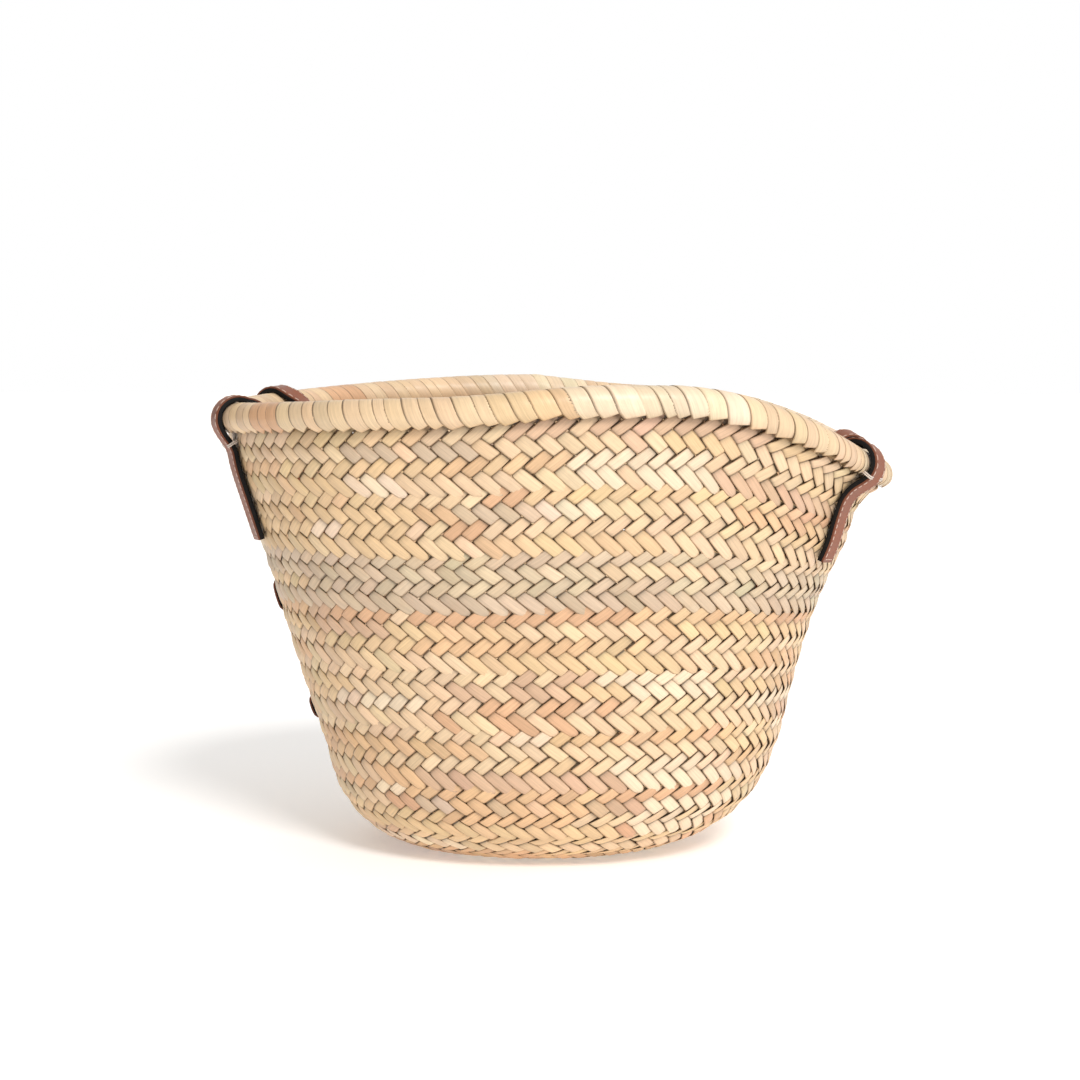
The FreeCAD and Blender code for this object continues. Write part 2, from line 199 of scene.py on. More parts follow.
def wall_point(run, angle, out):
    """Points a distance out of the wall's middle surface."""
    depth = WALL_THICKNESS / 2.0 - np.asarray(out, float)
    return outer_point(run, angle) - outer_normal(run, angle) * depth[..., None]


def fraction_table(run=0.30, count=1440):
    """Angles round the oval with the share of its outline up to each."""
    angles = np.linspace(0.0, 2.0 * math.pi, count + 1)
    steps = np.linalg.norm(np.diff(outer_point(run, angles), axis=0), axis=1)
    length = np.concatenate([[0.0], np.cumsum(steps)])
    return length / length[-1], angles


SHARES, ANGLES = fraction_table()


def share_to_angle(share):
    """Angle round the oval at a share of its outline: 0 is +X, 0.25 the back, 0.75 the front."""
    turns = np.floor(share)
    return np.interp(share - turns, SHARES, ANGLES) + 2.0 * math.pi * turns


def outline_length(run):
    points = outer_point(run, np.linspace(0.0, 2.0 * math.pi, 721))
    return float(np.linalg.norm(np.diff(points, axis=0), axis=1).sum())


def roll_frame(angle):
    """Centres of the rim roll with their level outward normals and tangents."""
    angle = np.asarray(angle, float)
    centre = wall_point(TOP_RUN, angle, np.zeros_like(angle))
    centre = centre + np.array([0.0, 0.0, CORE_RADIUS])
    tangent = outer_point(TOP_RUN, angle + 0.01) - outer_point(TOP_RUN, angle - 0.01)
    tangent[..., 2] = 0.0
    tangent = unit(tangent)
    normal = np.cross(tangent, np.array([0.0, 0.0, 1.0]))
    return centre, normal, tangent


def roll_point(angle, radius, turn):
    """Points round the roll: turn 0 is outward, 90 up and 180 inward, in degrees."""
    centre, normal, _ = roll_frame(angle)
    radians = np.radians(turn)
    up = np.array([0.0, 0.0, 1.0])
    side = (radius * np.cos(radians))[..., None]
    rise = (radius * np.sin(radians))[..., None]
    return centre + normal * side + up * rise


# ---------------------------------------------------------------------------
# Meshes
# ---------------------------------------------------------------------------
def tube_faces(stations, around):
    """Quads of one closed tube: a grid of stations by around, with both ends filled."""
    step = np.arange(stations - 1)[:, None] * around
    ring = np.arange(around)[None, :]
    after = (ring + 1) % around
    sides = np.stack([step + ring, step + after, step + around + after, step + around + ring], -1)
    sides = sides.reshape(-1, 4)
    caps = []
    for index in range(around // 2 - 1):
        first = [index, index + 1, around - 2 - index, around - 1 - index]
        caps.append(first[::-1])
        caps.append([corner + (stations - 1) * around for corner in first])
    return np.concatenate([sides, np.array(caps, int)])


def build_mesh(name, points, quads, strip_uv, tint, material):
    """One object from arrays: points (n, 3), quads (m, 4), a UV and a tint for each point."""
    mesh = bpy.data.meshes.new(name)
    mesh.vertices.add(len(points))
    mesh.vertices.foreach_set("co", points.astype(np.float32).ravel())
    mesh.loops.add(quads.size)
    mesh.loops.foreach_set("vertex_index", quads.astype(np.int32).ravel())
    mesh.polygons.add(len(quads))
    mesh.polygons.foreach_set("loop_start", np.arange(0, quads.size, 4, dtype=np.int32))
    mesh.polygons.foreach_set("use_smooth", np.ones(len(quads), bool))
    mesh.update(calc_edges=True)
    layer = mesh.uv_layers.new(name="strip")
    layer.data.foreach_set("uv", strip_uv[quads.ravel()].astype(np.float32).ravel())
    colour = mesh.attributes.new("tint", "FLOAT_COLOR", "POINT")
    colour.data.foreach_set("color", tint.astype(np.float32).ravel())
    mesh.validate()
    mesh.materials.append(material)
    piece = bpy.data.objects.new(name, mesh)
    bpy.context.scene.collection.objects.link(piece)
    return piece


def tubes_object(name, tubes, uvs, tints, material):
    """Many closed tubes of one grid size as one object; arrays are (tube, station, around, ...)."""
    count, stations, around = tubes.shape[:3]
    template = tube_faces(stations, around)
    offsets = np.arange(count)[:, None, None] * (stations * around)
    quads = (template[None] + offsets).reshape(-1, 4)
    return build_mesh(name, tubes.reshape(-1, 3), quads, uvs.reshape(-1, 2),
                      tints.reshape(-1, 4), material)


# ---------------------------------------------------------------------------
# Materials
# ---------------------------------------------------------------------------
def new_material(name, roughness, **sockets):
    material = bpy.data.materials.new(name)
    material.use_nodes = True
    tree = material.node_tree
    shader = tree.nodes["Principled BSDF"]
    shader.inputs["Roughness"].default_value = roughness
    for socket, value in sockets.items():
        shader.inputs[socket.replace("_", " ")].default_value = value
    return material, tree, shader


def node(tree, kind, **settings):
    made = tree.nodes.new(kind)
    for key, value in settings.items():
        if key in made.inputs:
            made.inputs[key].default_value = value
        else:
            setattr(made, key, value)
    return made


def mapped(tree, source, scale):
    mapping = node(tree, "ShaderNodeMapping")
    mapping.inputs["Scale"].default_value = scale
    tree.links.new(source, mapping.inputs["Vector"])
    return mapping.outputs["Vector"]


def noise(tree, vector, scale, detail, roughness=0.55):
    made = node(tree, "ShaderNodeTexNoise", Scale=scale, Detail=detail, Roughness=roughness)
    tree.links.new(vector, made.inputs["Vector"])
    return made.outputs["Fac"]


def remap(tree, value, low, high, to_low, to_high):
    made = node(tree, "ShaderNodeMapRange")
    made.inputs["From Min"].default_value = low
    made.inputs["From Max"].default_value = high
    made.inputs["To Min"].default_value = to_low
    made.inputs["To Max"].default_value = to_high
    tree.links.new(value, made.inputs["Value"])
    return made.outputs["Result"]


def multiply(tree, first, second):
    made = node(tree, "ShaderNodeMath", operation="MULTIPLY")
    tree.links.new(first, made.inputs[0])
    tree.links.new(second, made.inputs[1])
    return made.outputs["Value"]


def scaled_colour(tree, colour, value):
    """Colour times a grey value."""
    made = node(tree, "ShaderNodeVectorMath", operation="SCALE")
    tree.links.new(colour, made.inputs[0])
    tree.links.new(value, made.inputs["Scale"])
    return made.outputs["Vector"]


def mixed(tree, factor, first, second):
    """Mix of a colour socket towards a fixed colour."""
    made = node(tree, "ShaderNodeMix", data_type="RGBA")
    tree.links.new(factor, made.inputs["Factor"])
    tree.links.new(first, made.inputs["A"])
    made.inputs["B"].default_value = (*second, 1.0)
    return made.outputs["Result"]


def bumped(tree, shader, height, strength, distance, normal=None):
    made = node(tree, "ShaderNodeBump", Strength=strength, Distance=distance)
    tree.links.new(height, made.inputs["Height"])
    if normal is not None:
        tree.links.new(normal, made.inputs["Normal"])
    tree.links.new(made.outputs["Normal"], shader.inputs["Normal"])
    return made.outputs["Normal"]


def palm_material(name, gloss):
    """Dry palm leaf: each strip's tint, which on the plait carries painted shade, fibres along it,
    painted shade along its edges, and stains.
    """
    material, tree, shader = new_material(name, gloss)
    tint = node(tree, "ShaderNodeAttribute", attribute_name="tint")
    strip = node(tree, "ShaderNodeUVMap", uv_map="strip")
    place = node(tree, "ShaderNodeTexCoord")
    fibre = noise(tree, mapped(tree, strip.outputs["UV"], (70.0, 2600.0, 1.0)), 1.0, 3.0, 0.6)
    vein = noise(tree, mapped(tree, strip.outputs["UV"], (26.0, 760.0, 1.0)), 1.0, 2.0)
    stain = noise(tree, place.outputs["Object"], 95.0, 3.0)
    shade = multiply(tree, remap(tree, fibre, 0.3, 0.7, 0.88, 1.07),
                     remap(tree, vein, 0.3, 0.7, 0.90, 1.06))
    colour = scaled_colour(tree, tint.outputs["Color"], shade)
    # Painted shade: each strip darkens towards its edges, where the gaps between strips fall in
    # shade
    edge = remap(tree, tint.outputs["Alpha"], 0.74, 1.0, 0.0, 0.50)
    colour = mixed(tree, edge, colour, (0.30, 0.17, 0.085))
    blotch = remap(tree, stain, 0.56, 0.80, 0.0, 0.26)
    colour = mixed(tree, blotch, colour, (0.56, 0.37, 0.22))
    tree.links.new(colour, shader.inputs["Base Color"])
    rough = remap(tree, fibre, 0.3, 0.7, gloss - 0.06, gloss + 0.12)
    tree.links.new(rough, shader.inputs["Roughness"])
    first = bumped(tree, shader, fibre, 0.35, 0.00022)
    bumped(tree, shader, vein, 0.35, 0.0005, first)
    return material


def leather_material():
    material, tree, shader = new_material("tan leather", 0.42, Specular_IOR_Level=0.32)
    place = node(tree, "ShaderNodeTexCoord")
    tint = node(tree, "ShaderNodeAttribute", attribute_name="tint")
    grain = node(tree, "ShaderNodeTexVoronoi", Scale=1500.0, feature="F1")
    tree.links.new(place.outputs["Object"], grain.inputs["Vector"])
    cloud = noise(tree, place.outputs["Object"], 70.0, 4.0)
    crease = noise(tree, place.outputs["Object"], 480.0, 3.0)
    shade = multiply(tree, remap(tree, cloud, 0.3, 0.7, 0.82, 1.12),
                     remap(tree, crease, 0.3, 0.7, 0.92, 1.06))
    colour = scaled_colour(tree, tint.outputs["Color"], shade)
    edge = remap(tree, tint.outputs["Alpha"], 0.80, 1.0, 0.0, 0.6)
    colour = mixed(tree, edge, colour, (0.10, 0.035, 0.02))
    tree.links.new(colour, shader.inputs["Base Color"])
    tree.links.new(remap(tree, cloud, 0.3, 0.7, 0.36, 0.52), shader.inputs["Roughness"])
    first = bumped(tree, shader, grain.outputs["Distance"], 0.25, 0.0002)
    bumped(tree, shader, crease, 0.25, 0.0004, first)
    return material


def lining_material():
    material, tree, shader = new_material("black lining", 0.7, Specular_IOR_Level=0.22)
    place = node(tree, "ShaderNodeTexCoord")
    fuzz = noise(tree, place.outputs["Object"], 1400.0, 3.0)
    cloud = noise(tree, place.outputs["Object"], 90.0, 3.0)
    tint = node(tree, "ShaderNodeAttribute", attribute_name="tint")
    shade = remap(tree, cloud, 0.3, 0.7, 0.6, 1.5)
    tree.links.new(scaled_colour(tree, tint.outputs["Color"], shade), shader.inputs["Base Color"])
    tree.links.new(remap(tree, fuzz, 0.3, 0.7, 0.58, 0.82), shader.inputs["Roughness"])
    bumped(tree, shader, fuzz, 0.4, 0.0002)
    return material


def thread_material():
    material, tree, shader = new_material("pale thread", 0.6)
    strip = node(tree, "ShaderNodeUVMap", uv_map="strip")
    tint = node(tree, "ShaderNodeAttribute", attribute_name="tint")
    twist = node(tree, "ShaderNodeTexWave", Scale=1.0, Distortion=0.4, bands_direction="DIAGONAL")
    tree.links.new(mapped(tree, strip.outputs["UV"], (900.0, 1.0, 1.0)), twist.inputs["Vector"])
    shade = remap(tree, twist.outputs["Fac"], 0.0, 1.0, 0.74, 1.04)
    tree.links.new(scaled_colour(tree, tint.outputs["Color"], shade), shader.inputs["Base Color"])
    bumped(tree, shader, twist.outputs["Fac"], 0.5, 0.00015)
    return material


PALM = palm_material("palm leaf plait", 0.46)
PALM_RIM = palm_material("palm leaf rim strips", 0.38)
PALM_CORD = palm_material("palm fibre cord", 0.62)
LEATHER = leather_material()
LINING = lining_material()
THREAD = thread_material()

# Leaf colours, as linear colour
CREAM = (0.82, 0.597, 0.38)
STRAW = (0.8, 0.564, 0.325)
TAN = (0.77, 0.5, 0.285)
PEACH = (0.72, 0.435, 0.255)
PINK = (0.7, 0.465, 0.305)
GREY = (0.66, 0.5, 0.35)
SAGE = (0.68, 0.53, 0.36)
PALE = (0.88, 0.69, 0.49)
LEAVES = np.array([CREAM, STRAW, TAN, PEACH, PINK, GREY, SAGE, PALE])
PLAIN_MIX = (0.46, 0.27, 0.14, 0.03, 0.03, 0.02, 0.01, 0.04)
GREY_MIX = (0.05, 0.02, 0.01, 0.0, 0.02, 0.52, 0.36, 0.02)
RIM_MIX = (0.55, 0.10, 0.01, 0.0, 0.02, 0.0, 0.0, 0.32)
# Stretches of the front that were plaited from leaf of another colour:
# round, first row, last row, first share, last share of the outline, leaf
PATCHES = (
    (7, 3, 3, 0.745, 0.88, PINK), (7, 1, 1, 0.715, 0.765, TAN), (7, 0, 1, 0.775, 0.85, PALE),
    (7, 2, 2, 0.66, 0.73, GREY), (6, 3, 3, 0.735, 0.765, PEACH), (6, 1, 1, 0.705, 0.735, PEACH),
    (6, 0, 2, 0.56, 0.70, STRAW), (4, 3, 3, 0.62, 0.86, PEACH), (4, 1, 1, 0.69, 0.80, TAN),
    (4, 2, 2, 0.60, 0.67, PINK), (4, 3, 3, 0.93, 0.98, PEACH), (3, 0, 0, 0.69, 0.785, PEACH),
    (3, 1, 1, 0.735, 0.83, PEACH), (3, 2, 2, 0.70, 0.785, PINK), (3, 3, 3, 0.74, 0.80, PINK),
    (2, 0, 1, 0.82, 0.90, PALE), (1, 3, 3, 0.83, 0.91, PEACH), (1, 0, 2, 0.84, 0.92, PALE),
    (3, 2, 3, 0.81, 0.88, PALE), (2, 2, 3, 0.90, 0.96, STRAW), (1, 1, 2, 0.70, 0.80, TAN),
)


def leaf_run(count, mix, rng):
    """Colours of a row of strips: runs of one leaf, with a little change from strip to strip."""
    chosen = np.zeros((count, 3))
    index = 0
    while index < count:
        length = int(rng.integers(2, 13))
        colour = LEAVES[rng.choice(len(LEAVES), p=np.array(mix) / np.sum(mix))]
        chosen[index:index + length] = colour
        index += length
    jitter = 1.0 + rng.normal(0.0, 0.060, (count, 1))
    warmth = 1.0 + rng.normal(0.0, 0.018, (count, 3))
    return np.clip(chosen * jitter * warmth, 0.02, 0.95)


# ---------------------------------------------------------------------------
# The plait
# ---------------------------------------------------------------------------
CELL_PITCH = 0.0127
STRIP_HALF_THICKNESS = 0.00034
WEAVE_HEIGHT = 0.00095
STRIP_CROWN = 0.00034
STRIP_LAP = 0.00042
# Places across a strip, as shares of its width, with how far each stands towards the outside
ACROSS = np.array([-0.5, -0.36, 0.0, 0.36, 0.5, 0.42, 0.0, -0.42])
FACE = np.array([0.1, 1.0, 1.0, 1.0, 0.1, -1.0, -1.0, -1.0])
FLOAT_STEPS = np.array([0.0, 0.10, 0.26, 0.60, 1.0, 1.40, 1.74, 1.90])


def plait_stations(rows, low_end, high_end):
    """Places along a strip's middle line, in half rows, closer together where it dips."""
    steps = [FLOAT_STEPS + 2.0 * row for row in range(rows)]
    steps = np.concatenate(steps + [[2.0 * rows]])
    low = low_end * np.array([-1.0, -0.8, -0.45])
    high = 2.0 * rows + high_end * np.array([0.45, 0.8, 1.0])
    return np.concatenate([low, steps, high])


def plait(name, low_run, high_run, rows, mix, seed, cells=None, number=None):
    """One round of twill plait as strips of two families that pass over two and under two.

    A strip of the rising family shows outside in the odd rows, counted from the bottom, and one
    of the falling family in the even rows. Family 0 rises to the right, family 1 to the left.
    """
    rng = np.random.default_rng(seed)
    middle_run = (low_run + high_run) / 2.0
    cells = cells or int(round(outline_length(middle_run) / CELL_PITCH))
    half_row = (high_run - low_run) / (2.0 * rows)
    phase = rng.random()
    tubes = []
    uvs = []
    tints = []
    row_tints = [leaf_run(cells, mix, rng) for row in range(rows)]
    shares = (np.arange(cells) + 0.5 + phase) / cells % 1.0
    for patch_round, first_row, last_row, first_share, last_share, leaf in PATCHES:
        for row in range(first_row, last_row + 1):
            if patch_round == number and row < rows:
                inside = (shares > first_share) & (shares < last_share)
                inside &= rng.random(cells) < 0.85
                leaf_jitter = 1.0 + rng.normal(0.0, 0.05, (cells, 1))
                patch_tints = np.array(leaf) * leaf_jitter
                row_tints[row] = np.where(inside[:, None], patch_tints, row_tints[row])
    hidden_tints = [leaf_run(cells, PLAIN_MIX, rng) for _ in range(rows)]
    for family in (0, 1):
        slant = 1.0 if family == 0 else -1.0
        low_end = 0.45 if family == 0 else 0.75
        high_end = 0.75 if family == 0 else 0.45
        along = plait_stations(rows, low_end, high_end)
        count = len(along)
        strip = np.arange(cells)[:, None, None]
        along_grid = along[None, :, None]
        across = ACROSS[None, None, :]
        row = np.clip(np.floor(along / 2.0), 0, rows - 1).astype(int)
        outside = (row % 2) == (1 - family)
        place = np.clip(along - 2.0 * row, 0.0, 2.0)
        # Outside, a strip stands highest near its lower end, so its upper end dips in shade
        early = 2.0 * (place / 2.0) ** np.where(outside, 0.78, 1.0)
        arch = np.sin(np.pi * early / 2.0).clip(0.0, 1.0) ** 0.5
        lip = 0.38 * np.exp(-((place - 0.30) / 0.34) ** 2) * (family == 1)
        wave = np.where(outside, arch + lip * np.minimum(place / 0.1, 1.0), -arch)
        below = np.clip(-along / low_end, 0.0, 1.0)
        above = np.clip((along - 2.0 * rows) / high_end, 0.0, 1.0)
        # The ends tuck behind the next round, except the falling strips' rounded lower tips
        tip_out = 1.05 * np.sqrt(np.clip(1.0 - 0.8 * below, 0.0, 1.0))
        wave = np.where(along < 0.0, np.where(family == 1, tip_out, -ease(below) * 1.0), wave)
        raised_tip = (along >= 0.0) & (along < 0.5) & (family == 1)
        wave = np.where(raised_tip, np.maximum(wave, 1.05), wave)
        wave = np.where(along > 2.0 * rows, -0.9 * above - 0.1, wave)
        firm = ease(np.abs(wave) / 0.8)
        width = 0.965 + 0.05 * wave.clip(-1.0, 1.0) - 0.15 * (1.0 - firm)
        taper = np.sqrt(np.clip(1.0 - below ** 2.2, 0.05, 1.0))
        taper = taper * np.sqrt(np.clip(1.0 - 0.8 * above ** 2, 0.05, 1.0))
        own_width = rng.normal(1.0, 0.022, (cells, 1, 1)).clip(0.93, 1.05)
        own_tilt = rng.normal(0.0, 0.00013, (cells, 1, 1))
        own_height = rng.normal(1.0, 0.10, (cells, 1, 1)).clip(0.7, 1.3)
        own_slip = rng.normal(0.0, 0.025, (cells, 1, 1))
        wander = 0.020 * np.sin(along_grid * 1.3 + rng.uniform(0, 6.28, (cells, 1, 1)))
        spread = across * (width * taper)[None, :, None] * own_width
        half_rows = along_grid + spread
        column = strip + 0.5 * family + slant * (along_grid - spread) / 2.0 + own_slip + wander
        lift = wave[None, :, None] * WEAVE_HEIGHT * own_height
        crown = STRIP_CROWN * wave[None, :, None] * (1.0 - 4.0 * across ** 2)
        face = FACE[None, None, :] * STRIP_HALF_THICKNESS
        lap = slant * STRIP_LAP * np.abs(wave).clip(0.0, 1.0) * np.where(outside, 1.0, -1.0)
        tilt = (own_tilt + lap[None, :, None]) * across * 2.0
        out = lift + crown + face + tilt
        run = np.clip(low_run + half_rows * half_row, 0.0015, TOP_RUN + 0.004)
        angle = share_to_angle((column + phase) / cells)
        tubes.append(wall_point(run, angle, np.broadcast_to(out, run.shape)))
        length = np.broadcast_to(along_grid * CELL_PITCH * 0.62, run.shape)
        offset = rng.uniform(0.0, 40.0, (cells, 1, 1))
        beside = across * CELL_PITCH * 0.7 + offset * 0.37 + 0 * run
        uvs.append(np.stack([length + offset, beside], -1))
        tint = np.ones((cells, count, len(ACROSS), 4))
        for station in range(count):
            # The strip's column in the middle of this row picks the row's tint
            shift = int(round(0.5 * family + slant * (2.0 * row[station] + 1.0) / 2.0))
            source = row_tints if outside[station] else hidden_tints
            index = (np.arange(cells) + shift) % cells
            tint[:, station, :, :3] = source[row[station]][index][:, None, :]
        # Painted shade: a strip is darkened where it dips under its neighbours and on the face that
        # another strip covers
        covered = np.where(outside[:, None], FACE[None] < 0.0, FACE[None] > 0.0)
        shade = (0.48 + 0.52 * firm)[:, None] * np.where(covered, 0.34, 1.0)
        tint[..., :3] *= shade[None, :, :, None]
        tint[..., 3] = np.abs(ACROSS) * 2.0
        tints.append(tint)
    return tubes_object(name, np.concatenate(tubes), np.concatenate(uvs),
                        np.concatenate(tints), PALM)


def make_plait():
    first_wall = TOP_RUN - sum(WALL_COURSE_WIDTHS)
    first_base = first_wall - sum(BASE_COURSE_WIDTHS)
    pieces = []
    low = first_base
    for index, width in enumerate(BASE_COURSE_WIDTHS, 1):
        piece = plait(f"base_plait_{index}", low, low + width, 4, PLAIN_MIX, 200 + index)
        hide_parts(f"base_course_{index}")
        pieces.append(piece)
        low += width
    for index, width in enumerate(WALL_COURSE_WIDTHS, 1):
        mix = GREY_MIX if index == 5 else PLAIN_MIX
        piece = plait(f"plait_round_{index}", low, low + width, 4, mix, 100 + index, number=index)
        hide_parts(f"wall_course_{index}")
        pieces.append(piece)
        low += width
    piece = plait("base_start", 0.003, first_base, 3, PLAIN_MIX, 300, 16)
    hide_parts("base_centre")
    pieces.append(piece)
    for piece in pieces:
        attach(piece, "basket")


def make_seam_cords():
    """Two-ply palm cord inside each seam between rounds."""
    widths = BASE_COURSE_WIDTHS + WALL_COURSE_WIDTHS
    for index in range(len(widths)):
        run = TOP_RUN - sum(widths[index:])
        length = outline_length(run)
        stations = int(length / 0.0022)
        share = np.linspace(0.0, 1.0, stations)
        turns = round(length / 0.009)
        tubes = []
        for ply in (0.0, math.pi):
            twist = 2.0 * math.pi * turns * share + ply
            ring = np.linspace(0.0, 2.0 * math.pi, 6, endpoint=False)
            side = (0.00055 * np.cos(twist))[:, None] + 0.00055 * np.cos(ring)[None]
            out = (0.00055 * np.sin(twist))[:, None] + 0.00055 * np.sin(ring)[None]
            angle = share_to_angle(share)[:, None] + 0.0 * side
            tubes.append(wall_point(np.maximum(run + side, 0.001), angle, out))
        tubes = np.array(tubes)
        uvs = np.zeros(tubes.shape[:3] + (2,))
        uvs[..., 0] = share[None, :, None] * length
        uvs[..., 1] = np.linspace(0.0, 0.002, 6)
        tints = np.ones(tubes.shape[:3] + (4,)) * np.array([0.42, 0.27, 0.13, 0.3])
        piece = tubes_object(f"seam_cord_twist_{index + 1}", tubes, uvs, tints, PALM_CORD)
        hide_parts(f"seam_cord_{index + 1}")
        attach(piece, "basket")


# ---------------------------------------------------------------------------
# The rim
# ---------------------------------------------------------------------------
RIM_SLANT = 0.0080
RIM_LOW_TIP = -68.0
RIM_OBLIQUE = 30.0
RIM_HIGH = 250.0


def rim_slope(share):
    """How steeply the rim falls at a share of its outline, as the sine of the angle."""
    before = roll_frame(share_to_angle(share - 0.002))[0]
    after = roll_frame(share_to_angle(share + 0.002))[0]
    way = unit(after - before)
    return -way[..., 2]


def rim_strip_width(share):
    """Width of the rim's strips: broad at the front, narrow by the right-hand strap."""
    broad = 0.0030 * math.exp(-((share - 0.775) / 0.075) ** 2)
    narrow = 0.0042 * math.exp(-((share - 0.935) / 0.035) ** 2)
    return 0.0098 + broad - narrow


def make_rim_wrap():
    """Pale strips wound slantwise over the core, each lapping over its neighbour."""
    rng = np.random.default_rng(21)
    length = outline_length(TOP_RUN)
    edges = [0.0]
    while edges[-1] < 1.0:
        own = rim_strip_width(edges[-1]) * float(np.clip(rng.normal(1.0, 0.16), 0.62, 1.4))
        edges.append(edges[-1] + own / length)
    edges = np.array(edges) / edges[-1]
    widths = np.diff(edges)
    centres = (edges[1:] + edges[:-1]) / 2.0
    count = len(centres)
    across = ACROSS[None, None, :]
    steps = np.concatenate([np.linspace(0.0, 0.20, 8), np.linspace(0.24, 0.80, 18),
                            np.linspace(0.84, 1.0, 6)])[None, :, None]
    tip = rng.normal(0.0, 5.0, (count, 1, 1))
    low = RIM_LOW_TIP + tip + (RIM_OBLIQUE + rng.normal(0.0, 6.0, (count, 1, 1))) * (across + 0.5)
    high = RIM_HIGH + 0.0 * across
    turn = low + (high - low) * steps
    slant = RIM_SLANT / length * rng.normal(1.0, 0.04, (count, 1, 1))
    curve = 0.0010 / length * np.sin(np.radians(turn))
    tuck = ease((-turn - 18.0) / 40.0) + ease((turn - 205.0) / 40.0)
    wide = widths[:, None, None] * (1.18 - 0.10 * tuck) * rng.normal(1.0, 0.02, (count, 1, 1))
    share = centres[:, None, None] + slant * (90.0 - turn) / 90.0 + curve + across * wide
    # Where the rim slopes, a strip stays square to it and so leans with it
    lean = rim_slope(centres)[:, None, None] * ROLL_RADIUS / length
    share = share + lean * np.sin(np.radians(turn))
    lap = -0.00016 * (across * 2.0)
    crown = 0.00014 * (1.0 - 4.0 * across ** 2)
    face = FACE[None, None, :] * 0.00022
    own = rng.normal(0.0, 0.00006, (count, 1, 1)) + rng.normal(0.0, 0.00009, (count, 1, 1)) * across
    squeeze = 1.0 - 0.12 * np.exp(-((share - 0.945) / 0.030) ** 2)
    radius = (ROLL_RADIUS - 0.00025) * squeeze + lap + crown + face + own - 0.0010 * tuck
    points = roll_point(share_to_angle(share), radius, turn)
    uvs = np.zeros(points.shape[:3] + (2,))
    offset = rng.uniform(0.0, 40.0, (count, 1, 1))
    uvs[..., 0] = np.radians(turn) * ROLL_RADIUS + offset
    uvs[..., 1] = across * 0.010 + offset * 0.37
    tints = np.ones(points.shape[:3] + (4,))
    colours = leaf_run(count, RIM_MIX, rng)
    tanned = ((centres > 0.597) & (centres < 0.618)) | ((centres > 0.385) & (centres < 0.405))
    colours[tanned] = np.array(PEACH) * (1.0 + rng.normal(0.0, 0.04, (int(tanned.sum()), 1)))
    tints[..., :3] = colours[:, None, None, :]
    tints[..., 3] = np.abs(ACROSS) * 2.0
    piece = tubes_object("rim_strips", points, uvs, tints, PALM_RIM)
    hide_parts("rim_wrap")
    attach(piece, "basket")


def make_rim_core():
    """A bundle of stalks inside the roll."""
    stalks = 9
    stations = 240
    share = np.linspace(0.0, 1.0, stations)
    tubes = []
    for index in range(stalks):
        ring = np.linspace(0.0, 2.0 * math.pi, 8, endpoint=False)
        reach = 0.0 if index == 0 else 0.0049
        start = 2.0 * math.pi * index / (stalks - 1)
        twist = start + 2.0 * math.pi * 5.0 * share
        size = 0.0030 if index == 0 else 0.00205
        side = (reach * np.cos(twist))[:, None] + size * np.cos(ring)
        rise = (reach * np.sin(twist))[:, None] + size * np.sin(ring)
        centre, normal, _ = roll_frame(share_to_angle(share))
        up = np.array([0.0, 0.0, 1.0])
        tubes.append(centre[:, None] + normal[:, None] * side[..., None] + up * rise[..., None])
    tubes = np.array(tubes)
    uvs = np.zeros(tubes.shape[:3] + (2,))
    uvs[..., 0] = share[None, :, None] * outline_length(TOP_RUN)
    uvs[..., 1] = np.linspace(0.0, 0.01, 8)
    # The stalks' dark brown tint is partly their own colour and partly painted shade, which shows
    # dark in the gaps between the rim strips
    tints = np.ones(tubes.shape[:3] + (4,)) * np.array([0.30, 0.18, 0.08, 0.2])
    piece = tubes_object("rim_stalks", tubes, uvs, tints, PALM_CORD)
    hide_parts("rim_core")
    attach(piece, "basket")


# ---------------------------------------------------------------------------
# Leather
# ---------------------------------------------------------------------------
LEATHER_TINT = (0.265, 0.082, 0.037)
LINING_TINT = (0.0045, 0.0042, 0.0042)
THREAD_TINT = (0.74, 0.56, 0.46)
STATION_STEP = 0.0022


def crossing_angle(side, end):
    """Angle round the oval where a handle leg crosses the rim: side -1 left, end -1 front."""
    angles = np.linspace(0.0, math.pi / 2.0, 2000)
    offsets = roll_frame(angles)[0][:, 1]
    angle = float(np.interp(LEG_HALF_SPACING, offsets, angles))
    if side < 0:
        angle = math.pi - angle
    return angle if end > 0 else -angle


def around_way(run, angle):
    """Unit direction round the basket at a run, with the slope of the sag."""
    return unit(outer_point(run, angle + 0.01) - outer_point(run, angle - 0.01))


def tab_path(side, end):
    """Stations of a strap's fixed end: points, width directions and outward directions."""
    angle = crossing_angle(side, end)
    centre = roll_frame(angle)[0]
    cinch_run = TOP_RUN - CINCH_DROP + CORE_RADIUS
    runs = np.linspace(TAB_END_RUN, cinch_run, 8)
    angles = np.full(8, angle)
    points = wall_point(runs, angles, np.full(8, 0.0024 + STRAP_CLEARANCE))
    along = around_way(TOP_RUN, angle)
    turns = np.linspace(WRAP_FIRST_ANGLE, WRAP_LAST_ANGLE, 13)
    wrap = roll_point(np.full(13, angle), np.full(13, ROLL_RADIUS + STRAP_CLEARANCE), turns)
    faces = wrap - centre
    faces = unit(faces - (faces @ along)[:, None] * along)
    points = np.concatenate([points, wrap])
    faces = np.concatenate([outer_normal(runs, angles), faces])
    widths = np.concatenate([around_way(runs, angles), np.repeat(along[None], 13, 0)])
    return points, widths, faces


